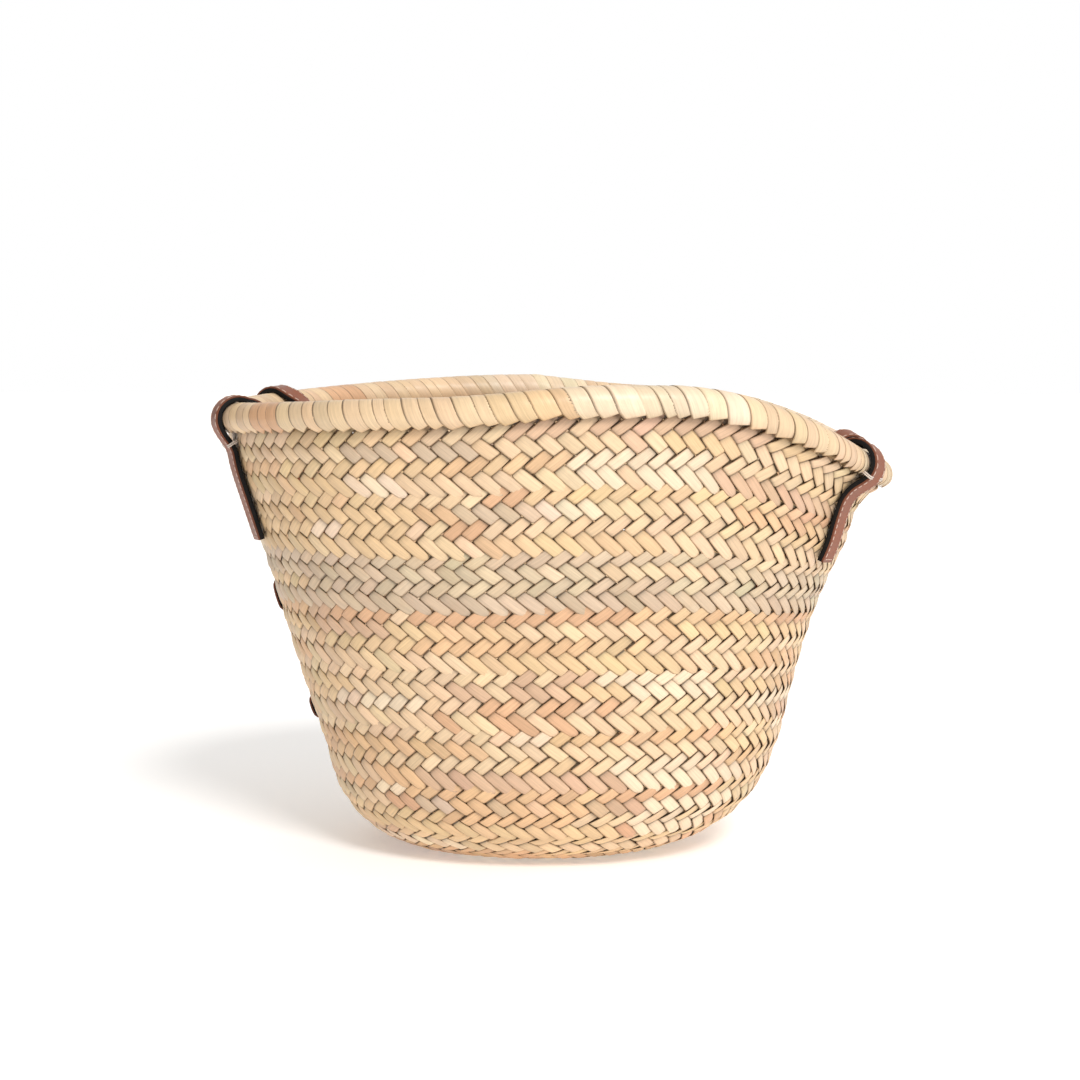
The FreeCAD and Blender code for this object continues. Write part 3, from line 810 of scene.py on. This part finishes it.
def loop_path(side, hinge):
    """Stations of the hanging loop from its front leg round to its back leg."""
    down = np.array([-side * math.sin(LOOP_LEAN), 0.0, -math.cos(LOOP_LEAN)])
    inward = np.array([-side * math.cos(LOOP_LEAN), 0.0, math.sin(LOOP_LEAN)])
    leg = np.array([0.0, 1.0, 0.0])
    turn = np.linspace(0.0, math.pi, 61)
    across = -LOOP_HALF_WIDTH * np.cos(turn)
    drop = LOOP_STRAIGHT + (LOOP_DROP - LOOP_STRAIGHT) * np.sin(turn)
    across = np.concatenate([[-LOOP_HALF_WIDTH] * 2, across, [LOOP_HALF_WIDTH] * 2])
    drop = np.concatenate([[0.0, 0.012], drop, [0.012, 0.0]])
    points = hinge + inward * LOOP_OFFSET + leg * across[:, None] + down * drop[:, None]
    way = unit(np.gradient(points, axis=0))
    outward = unit(np.cross(inward, way))
    middle = leg * across[:, None] + down * (drop - LOOP_STRAIGHT)[:, None]
    outward = outward * np.where((outward * middle).sum(1) < 0.0, -1.0, 1.0)[:, None]
    length = np.concatenate([[0.0], np.cumsum(np.linalg.norm(np.diff(points, axis=0), axis=1))])
    from_end = np.minimum(length, length[-1] - length)
    twist = math.pi / 2.0 * ease((from_end - LOOP_TWIST_FROM) / LOOP_TWIST_LENGTH)[:, None]
    faces = inward * np.cos(twist) + outward * np.sin(twist)
    widths = unit(np.cross(faces, way))
    total = LINING_THICKNESS + LEATHER_THICKNESS
    return points - faces * (total / 2.0), widths, faces


def smooth_path(points, widths, faces, step=STATION_STEP):
    """Evenly spaced stations on a smooth curve through the given ones."""
    length = np.concatenate([[0.0], np.cumsum(np.linalg.norm(np.diff(points, axis=0), axis=1))])
    count = int(length[-1] / step)
    at = np.linspace(0.0, length[-1], count)
    fine = []
    for values in (points, widths, faces):
        slopes = np.gradient(values, length, axis=0)
        index = np.clip(np.searchsorted(length, at, side="right") - 1, 0, len(length) - 2)
        gap = (length[index + 1] - length[index])[:, None]
        t = ((at - length[index])[:, None]) / gap
        h00 = 2 * t ** 3 - 3 * t ** 2 + 1
        h10 = t ** 3 - 2 * t ** 2 + t
        h01 = -2 * t ** 3 + 3 * t ** 2
        h11 = t ** 3 - t ** 2
        fine.append(h00 * values[index] + h10 * gap * slopes[index]
                    + h01 * values[index + 1] + h11 * gap * slopes[index + 1])
    points, widths, faces = fine
    way = unit(np.gradient(points, axis=0))
    faces = unit(faces - way * (faces * way).sum(1)[:, None])
    widths = unit(widths - way * (widths * way).sum(1)[:, None])
    widths = unit(widths - faces * (widths * faces).sum(1)[:, None])
    return at, points, widths, faces


def handle_path(side, body):
    """Stations of one whole strap, from the front tab's end to the back tab's end."""
    joint = JOINTS[body]
    hinge = np.array(joint["pos_m"], float)
    front = tab_path(side, -1)
    back = tab_path(side, 1)
    loop = loop_path(side, hinge)
    # Width directions keep one sense along the whole strap
    flip = 1.0 if (front[1][-1] @ loop[1][0]) > 0.0 else -1.0
    flip_back = flip * (1.0 if (loop[1][-1] @ back[1][-1]) * flip > 0.0 else -1.0)
    points = np.concatenate([front[0], loop[0][1:-1], back[0][::-1]])
    widths = np.concatenate([front[1] * flip, loop[1][1:-1], back[1][::-1] * flip_back * flip])
    faces = np.concatenate([front[2], loop[2][1:-1], back[2][::-1]])
    sign = np.sign((widths[1:] * widths[:-1]).sum(1))
    widths[1:] *= np.cumprod(np.where(sign == 0.0, 1.0, sign))[:, None]
    return smooth_path(points, widths, faces)


def strap_ring(width, low, high, rounding, steps=4):
    """Cross-section of a strap layer: a rectangle with rounded corners, as (across, out)."""
    ring = []
    half = width / 2.0
    corners = ((half, high, 0.0), (-half, high, 90.0), (-half, low, 180.0), (half, low, 270.0))
    for across, out, start in corners:
        centre_across = across - math.copysign(rounding, across)
        centre_out = out - rounding if out == high else out + rounding
        for step in range(steps):
            angle = math.radians(start + 90.0 * step / (steps - 1))
            ring.append((centre_across + rounding * math.cos(angle),
                         centre_out + rounding * math.sin(angle)))
    top = ring[:steps]
    middle_top = [(half * share, high) for share in (0.6, 0.2, -0.2, -0.6)]
    middle_low = [(half * share, low) for share in (-0.6, -0.2, 0.2, 0.6)]
    return np.array(top + middle_top + ring[steps:3 * steps] + middle_low + ring[3 * steps:])


def layer_object(name, path, ring, tint, material):
    at, points, widths, faces = path
    tube = (points[:, None] + widths[:, None] * ring[None, :, :1]
            + faces[:, None] * ring[None, :, 1:])[None]
    uvs = np.zeros(tube.shape[:3] + (2,))
    uvs[..., 0] = at[None, :, None]
    uvs[..., 1] = np.cumsum(np.linalg.norm(np.roll(ring, -1, 0) - ring, axis=1))
    tints = np.ones(tube.shape[:3] + (4,)) * np.array([*tint, 1.0])
    tints[..., 3] = np.abs(ring[:, 0]) / np.abs(ring[:, 0]).max()
    return tubes_object(name, tube, uvs, tints, material)


def stitches_object(name, path, edge, out, pitch, thread, keep=None):
    """Stitches that dip into the leather, along both edges of a strap."""
    at, points, widths, faces = path
    starts = np.arange(0.0035, at[-1] - 0.0035, pitch)
    if keep is not None:
        starts = starts[keep(starts)]
    share = np.linspace(0.0, 1.0, 7)
    ring = np.linspace(0.0, 2.0 * math.pi, 6, endpoint=False)
    tubes = []
    for side in (-1.0, 1.0):
        where = starts[:, None] + share[None] * pitch * 0.80
        centre = np.stack([np.interp(where, at, points[:, axis]) for axis in range(3)], -1)
        width = unit(np.stack([np.interp(where, at, widths[:, axis]) for axis in range(3)], -1))
        face = unit(np.stack([np.interp(where, at, faces[:, axis]) for axis in range(3)], -1))
        rise = out + thread * (0.25 - 1.5 * (2.0 * share - 1.0) ** 4)
        size = thread * (1.0 - 0.35 * (2.0 * share - 1.0) ** 6)
        centre = centre + width * (side * edge) + face * rise[None, :, None]
        beside = (np.cos(ring) * size[:, None])[..., None]
        above = (np.sin(ring) * size[:, None])[..., None]
        tubes.append(centre[:, :, None] + width[:, :, None] * beside + face[:, :, None] * above)
    tubes = np.concatenate(tubes)
    uvs = np.zeros(tubes.shape[:3] + (2,))
    uvs[..., 0] = share[None, :, None] * pitch
    uvs[..., 1] = np.linspace(0.0, 0.003, 6)
    tints = np.ones(tubes.shape[:3] + (4,)) * np.array([*THREAD_TINT, 1.0])
    return tubes_object(name, tubes, uvs, tints, THREAD)


def end_stitches(name, path, out, thread):
    """The short row of stitches across each tab's end."""
    at, points, widths, faces = path
    tubes = []
    share = np.linspace(0.0, 1.0, 7)
    ring = np.linspace(0.0, 2.0 * math.pi, 6, endpoint=False)

    def thread_along(start, finish, face, size, lift):
        line = start + (finish - start) * share[:, None]
        rise = out + size * (lift - 1.5 * (2.0 * share - 1.0) ** 4)
        line = line + face * rise[:, None]
        way = unit(finish - start)
        other = np.cross(way, face)
        return (line[:, None] + other * (np.cos(ring) * size)[None, :, None]
                + face * (np.sin(ring) * size)[None, :, None])

    for station in (1, len(at) - 2):
        centre, width, face = points[station], widths[station], faces[station]
        edges = np.linspace(-STRAP_WIDTH / 2 + 0.003, STRAP_WIDTH / 2 - 0.003, 5)
        for low, high in zip(edges, edges[1:]):
            tubes.append(thread_along(centre + width * (low + 0.0004),
                                      centre + width * (high - 0.0004), face, thread, 0.25))
    tubes = np.array(tubes)
    uvs = np.zeros(tubes.shape[:3] + (2,))
    uvs[..., 0] = share[None, :, None] * 0.004
    uvs[..., 1] = np.linspace(0.0, 0.003, 6)
    tints = np.ones(tubes.shape[:3] + (4,)) * np.array([*THREAD_TINT, 1.0])
    return tubes_object(name, tubes, uvs, tints, THREAD)


def cinch_object(name, path, station, total):
    """Thread round both edges of the strap and into the wall, pulling it in under the roll."""
    _, points, widths, faces = path
    centre, width, face = points[station], widths[station], faces[station]
    size = 0.00050
    reach = STRAP_WIDTH / 2.0 + size * 0.8
    line_shape = np.array([(reach - 0.0004, -0.0030), (reach, 0.0), (reach, total - 0.0010),
                           (reach - 0.0004, total - 0.0001), (reach - 0.0013, total + size * 0.5),
                           (reach - 0.0026, total + size * 0.5), (reach - 0.0034, total),
                           (reach - 0.0038, total - 0.0012)])
    ring = np.linspace(0.0, 2.0 * math.pi, 8, endpoint=False)
    along = unit(np.cross(width, face))
    tubes = []
    for edge in (-1.0, 1.0):
        line = centre + width * (line_shape[:, :1] * edge) + face * line_shape[:, 1:]
        way = unit(np.gradient(line, axis=0))
        other = unit(np.cross(way, along))
        for shift in (-0.0006, 0.0006):
            tubes.append(line[:, None] + along * shift
                         + along * (np.cos(ring) * size)[None, :, None]
                         + other[:, None] * (np.sin(ring) * size)[None, :, None])
    tubes = np.array(tubes)
    uvs = np.zeros(tubes.shape[:3] + (2,))
    uvs[..., 0] = np.linspace(0.0, 0.012, len(line_shape))[None, :, None]
    uvs[..., 1] = np.linspace(0.0, 0.003, 8)
    tints = np.ones(tubes.shape[:3] + (4,)) * np.array([0.80, 0.70, 0.62, 1.0])
    return tubes_object(name, tubes, uvs, tints, THREAD)


def make_handle(side, body):
    path = handle_path(side, body)
    at = path[0]
    total = LINING_THICKNESS + LEATHER_THICKNESS
    lining_ring = strap_ring(STRAP_WIDTH, 0.0, LINING_THICKNESS, 0.0007)
    leather_ring = strap_ring(STRAP_WIDTH - 0.0006, LINING_THICKNESS - 0.0002, total, 0.0004)
    lining = layer_object(f"{body}_strap_lining", path, lining_ring, LINING_TINT, LINING)
    leather = layer_object(f"{body}_strap", path, leather_ring, LEATHER_TINT, LEATHER)
    thread = stitches_object(f"{body}_edge_stitches", path, STRAP_WIDTH / 2.0 - 0.0019,
                             total, 0.0040, 0.00034)
    ends = end_stitches(f"{body}_end_stitches", path, total, 0.00034)
    places = ("front", "back")
    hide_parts(f"{body}_loop", *[f"{body}_{place}_tab" for place in places])
    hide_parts(f"{body}_loop_lining", *[f"{body}_{place}_tab_lining" for place in places])
    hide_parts(*[f"{body}_{place}_stitches" for place in places])
    layers = ((leather, "tan_leather"), (lining, "black_lining"), (thread, "pale_thread"))
    for piece, slot in layers:
        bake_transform(piece)
    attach(ends, "basket")
    cinch_length = TOP_RUN - CINCH_DROP + CORE_RADIUS - TAB_END_RUN
    for place in places:
        where = cinch_length if place == "front" else at[-1] - cinch_length
        station = int(np.argmin(np.abs(at - where)))
        piece = cinch_object(f"{body}_{place}_cinch", path, station, total)
        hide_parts(f"{body}_{place}_cinch_thread")
        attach(piece, "basket")


def lace_out(run):
    """How far the lace's inner face stands out of the wall's middle surface."""
    outside = np.zeros_like(run)
    for low, high in LACE_BOWS:
        rise = ease((run - low + 0.0045) / 0.009)
        fall = ease((high + 0.0045 - run) / 0.009)
        bow = np.sin(math.pi * np.clip((run - low) / (high - low), 0.0, 1.0))
        outside = np.maximum(outside, rise * fall * (1.0 + bow))
    shown = np.minimum(outside, 1.0)
    inside = -(WALL_THICKNESS / 2.0 + 0.0026)
    return inside * (1.0 - shown) + shown * 0.0018 + 0.0008 * np.maximum(outside - 1.0, 0.0)


def make_lace():
    runs = np.linspace(*LACE_RUNS, 70)
    angles = np.full(len(runs), LACE_ANGLE)
    points = wall_point(runs, angles, lace_out(runs))
    tangent = unit(outer_point(runs, angles + 0.01) - outer_point(runs, angles - 0.01))
    way = unit(np.gradient(points, axis=0))
    path = smooth_path(points, tangent, np.cross(tangent, way), 0.0015)
    lining = layer_object("side_lace_back", path, strap_ring(LACE_WIDTH, 0.0, 0.0009, 0.0003),
                          LINING_TINT, LINING)
    leather = layer_object("side_lace_strap", path, strap_ring(LACE_WIDTH, 0.0008, 0.0021, 0.0005),
                           LEATHER_TINT, LEATHER)
    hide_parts("side_lace_lining")
    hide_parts("side_lace")
    for piece, slot in ((leather, "tan_leather"), (lining, "black_lining")):
        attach(piece, "basket")


# ---------------------------------------------------------------------------
# Camera, floor and light
# ---------------------------------------------------------------------------
CAMERA_DISTANCE = 1.70
CAMERA_HEIGHT = 0.348
CAMERA_AZIMUTH = math.radians(4.0)
CAMERA_PITCH = math.radians(4.80)
CAMERA_PAN = math.radians(0.25)
CAMERA_LENS = 83.3
SUN_STRENGTH = 1.95
SUN_ANGLE = math.radians(16.0)
SUN_COLOUR = (1.0, 0.985, 0.96)
SUN_TILT = math.radians(50.0)
SUN_AZIMUTH = math.radians(24.0)
DARK_SIDE = (0.07, 0.045, 0.03, 1.0)
SOFT_FILL = (0.74, 0.73, 0.71, 1.0)
WHITE = (1.0, 1.0, 1.0, 1.0)
FLOOR_COLOUR = (0.94, 0.94, 0.94, 1.0)
FLOOR_GLOW = 0.30
FLOOR_HALF = 12


def make_camera():
    data = bpy.data.cameras.new("camera")
    data.lens = CAMERA_LENS
    data.sensor_width = 36.0
    camera = bpy.data.objects.new("camera", data)
    camera.location = (CAMERA_DISTANCE * math.sin(CAMERA_AZIMUTH),
                       -CAMERA_DISTANCE * math.cos(CAMERA_AZIMUTH), CAMERA_HEIGHT)
    camera.rotation_euler = (math.pi / 2.0 - CAMERA_PITCH, 0.0, CAMERA_AZIMUTH + CAMERA_PAN)
    bpy.context.scene.collection.objects.link(camera)
    bpy.context.scene.camera = camera


def make_studio():
    """A soft sun from the front right, a dark side on the left, and a white backdrop behind.

    The floor glows faintly, which lightens the basket's shadow.
    """
    scene = bpy.context.scene
    scene.view_settings.view_transform = "Standard"
    world = scene.world or bpy.data.worlds.new("studio")
    scene.world = world
    world.use_nodes = True
    tree = world.node_tree
    background = tree.nodes["Background"]
    place = node(tree, "ShaderNodeTexCoord")
    split = node(tree, "ShaderNodeSeparateXYZ")
    tree.links.new(place.outputs["Generated"], split.inputs["Vector"])
    left = remap(tree, split.outputs["X"], -0.72, -0.06, 0.0, 1.0)
    dim = node(tree, "ShaderNodeMix", data_type="RGBA")
    dim.inputs["A"].default_value = DARK_SIDE
    dim.inputs["B"].default_value = SOFT_FILL
    tree.links.new(left, dim.inputs["Factor"])
    backdrop = node(tree, "ShaderNodeMix", data_type="RGBA")
    backdrop.inputs["B"].default_value = WHITE
    tree.links.new(dim.outputs["Result"], backdrop.inputs["A"])
    tree.links.new(remap(tree, split.outputs["Y"], 0.70, 0.92, 0.0, 1.0),
                   backdrop.inputs["Factor"])
    tree.links.new(backdrop.outputs["Result"], background.inputs["Color"])
    data = bpy.data.lights.new("soft key", "SUN")
    data.energy = SUN_STRENGTH
    data.angle = SUN_ANGLE
    data.color = SUN_COLOUR
    light = bpy.data.objects.new("soft key", data)
    light.rotation_euler = (SUN_TILT, 0.0, SUN_AZIMUTH)
    scene.collection.objects.link(light)
    material, tree, shader = new_material("pale floor", 0.8)
    shader.inputs["Base Color"].default_value = FLOOR_COLOUR
    shader.inputs["Emission Color"].default_value = WHITE
    shader.inputs["Emission Strength"].default_value = FLOOR_GLOW
    mesh = bpy.data.meshes.new("floor")
    far = FLOOR_HALF
    corners = [(-far, -far, 0), (far, -far, 0), (far, far, 0), (-far, far, 0)]
    mesh.from_pydata(corners, [], [(0, 1, 2, 3)])
    mesh.materials.append(material)
    floor = bpy.data.objects.new("floor", mesh)
    scene.collection.objects.link(floor)


make_camera()
make_studio()
make_plait()
make_seam_cords()
make_rim_wrap()
make_rim_core()
make_handle(-1, "left_handle")
make_handle(1, "right_handle")
make_lace()
bpy.context.view_layer.update()
